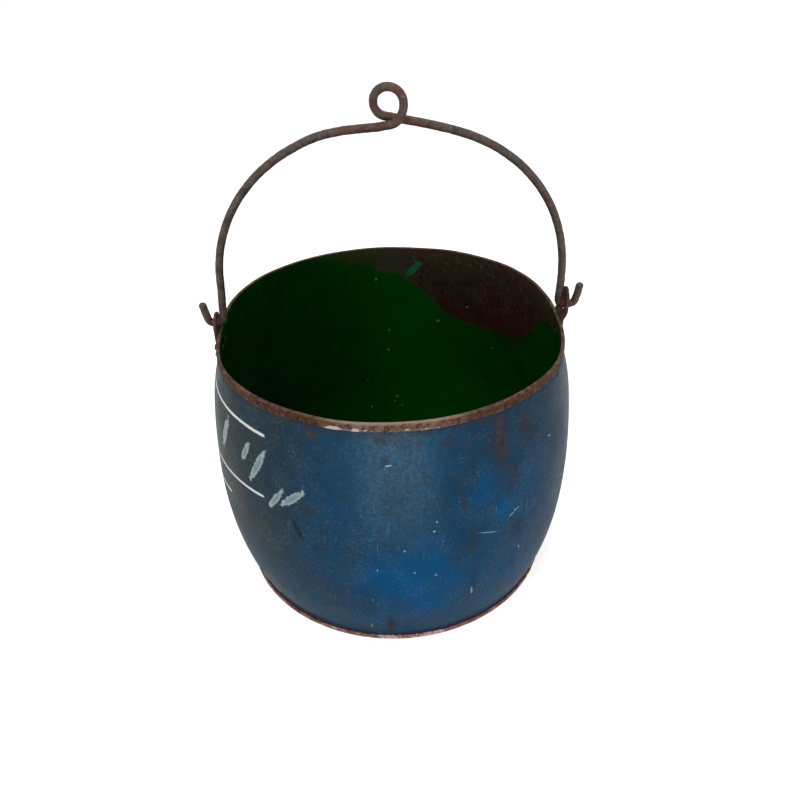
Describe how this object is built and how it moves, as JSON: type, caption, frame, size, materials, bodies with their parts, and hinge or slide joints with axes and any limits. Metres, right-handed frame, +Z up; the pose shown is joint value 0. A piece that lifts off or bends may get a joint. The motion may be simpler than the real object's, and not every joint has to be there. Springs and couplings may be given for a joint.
{
  "type": "bucket",
  "caption": "Old round bellied sheet-metal bucket, painted and rusted, with a folded rim and a swinging rod bail wound into an eye at its crown.",
  "frame": {"origin": "on the floor under the middle of the base plate", "axes": "+Z up along the bucket's axis; the ears and the bail's swing axis lie along X; -Y is the front"},
  "size_m": [0.3339, 0.329, 0.4443],
  "materials": {
    "blue_paint": "old blue paint, chipped and stained with rust, dark green inside",
    "red_rust": "pinkish brown rust",
    "dark_rust": "dark rust",
    "brown_rust": "even grey-brown rust"
  },
  "bodies": {
    "bucket": {"body_shell": "blue_paint", "base_disc": "red_rust", "left_ear": "dark_rust", "right_ear": "dark_rust", "left_ear_rivet_front": "dark_rust", "left_ear_rivet_back": "dark_rust", "right_ear_rivet_front": "dark_rust", "right_ear_rivet_back": "dark_rust"},
    "bail": {"bail": "brown_rust"}
  },
  "joints": [
    {"name": "bail_swing", "type": "hinge", "parent": "bucket", "child": "bail", "pos_m": [0, 0, 0.2517], "axis": [1, 0, 0.0099], "range_deg": [-88, 88]}
  ]
}
